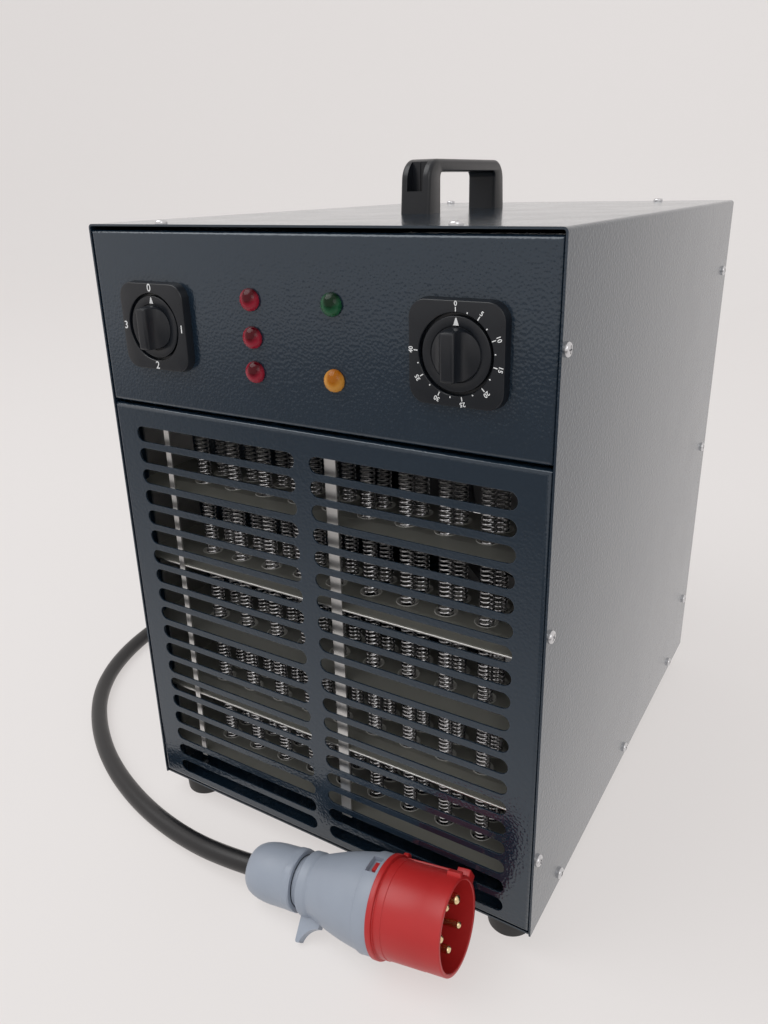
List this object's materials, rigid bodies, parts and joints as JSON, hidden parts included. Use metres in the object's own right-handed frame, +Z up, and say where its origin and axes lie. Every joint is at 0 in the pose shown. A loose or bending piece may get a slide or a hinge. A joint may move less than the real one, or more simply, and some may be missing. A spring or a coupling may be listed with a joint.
{
  "type": "electric fan heater",
  "caption": "Box-shaped industrial electric fan heater with slotted grille, control knobs, lamps, top handle, rubber feet and a cord with an industrial plug.",
  "frame": {"origin": "on the floor under the middle of the heater, halfway between the knobs' fronts and the rearmost wire of the fan guard", "axes": "+Z up, +X to the right seen from the front, +Y from the front towards the rear"},
  "size_m": [0.5169, 0.75, 0.4728],
  "materials": {
    "case_paint": "dark blue-grey hammer-textured gloss paint",
    "zinc": "bright zinc-plated steel",
    "bright_steel": "bright galvanised sheet",
    "tray_metal": "heat-darkened sheet steel",
    "element_wire": "dark oxidised resistance wire",
    "ceramic": "dull unglazed ceramic",
    "black_plastic": "satin black moulded plastic",
    "grey_plastic": "satin blue-grey moulded plastic",
    "red_plastic": "satin red moulded plastic",
    "brass": "bright nickelled brass",
    "copper": "drawn copper",
    "guard_wire": "black powder coat",
    "motor_metal": "black painted casting",
    "shaft_steel": "ground steel",
    "aluminium": "plain aluminium",
    "foot_rubber": "black rubber",
    "cord_rubber": "black rubber sheath",
    "red_lens": "clear red faceted lens",
    "green_lens": "clear green faceted lens",
    "amber_lens": "clear amber faceted lens"
  },
  "bodies": {
    "casing": {"amber_lamp_lens": "amber_lens", "base_pan": "case_paint", "bushing_nuts": "zinc", "cable_gland": "black_plastic", "carry_handle": "black_plastic", "ceramic_bushes_back": "ceramic", "ceramic_bushes_front": "ceramic", "contactor": "black_plastic", "control_panel": "case_paint", "control_shelf": "bright_steel", "cord_relief": "cord_rubber", "din_rail": "zinc", "element_side_plate_left": "bright_steel", "element_side_plate_right": "bright_steel", "element_tray_1": "tray_metal", "element_tray_2": "tray_metal", "element_tray_3": "tray_metal", "element_tray_4": "tray_metal", "element_tray_5": "tray_metal", "element_tray_6": "tray_metal", "fan_guard": "guard_wire", "fan_motor": "motor_metal", "fan_ring": "bright_steel", "foot_screws": "zinc", "front_grille": "case_paint", "front_stay_left": "bright_steel", "front_stay_right": "bright_steel", "green_lamp_lens": "green_lens", "guard_screws": "zinc", "handle_screws": "zinc", "heating_coils_back": "element_wire", "heating_coils_front": "element_wire", "lamp_holders": "black_plastic", "outer_shell": "case_paint", "plug_body": "grey_plastic", "plug_gland_nut": "grey_plastic", "plug_insert": "red_plastic", "plug_pins": "brass", "plug_sleeve": "red_plastic", "power_cord": "cord_rubber", "rear_panel": "case_paint", "red_lamp_lenses": "red_lens", "rubber_foot_1": "foot_rubber", "rubber_foot_2": "foot_rubber", "rubber_foot_3": "foot_rubber", "rubber_foot_4": "foot_rubber", "shell_screws": "zinc", "switch_body": "black_plastic", "switch_plate": "black_plastic", "terminal_block": "grey_plastic", "thermal_cutout": "zinc", "thermostat_body": "black_plastic", "thermostat_bulb": "copper", "thermostat_plate": "black_plastic"},
    "switch_knob": {"switch_knob": "black_plastic", "switch_shaft": "shaft_steel"},
    "thermostat_knob": {"thermostat_knob": "black_plastic", "thermostat_shaft": "shaft_steel"},
    "fan_impeller": {"fan_impeller": "aluminium", "fan_shaft": "shaft_steel"}
  },
  "joints": [
    {"name": "switch_turn", "type": "hinge", "parent": "casing", "child": "switch_knob", "pos_m": [-0.1035, -0.19125, 0.378], "axis": [0, 1, 0], "range_deg": [0, 270]},
    {"name": "thermostat_turn", "type": "hinge", "parent": "casing", "child": "thermostat_knob", "pos_m": [0.1035, -0.19125, 0.378], "axis": [0, 1, 0], "range_deg": [0, 272]},
    {"name": "fan_spin", "type": "hinge", "parent": "casing", "child": "fan_impeller", "pos_m": [0, 0.18875, 0.173], "axis": [0, 1, 0], "continuous": true}
  ]
}
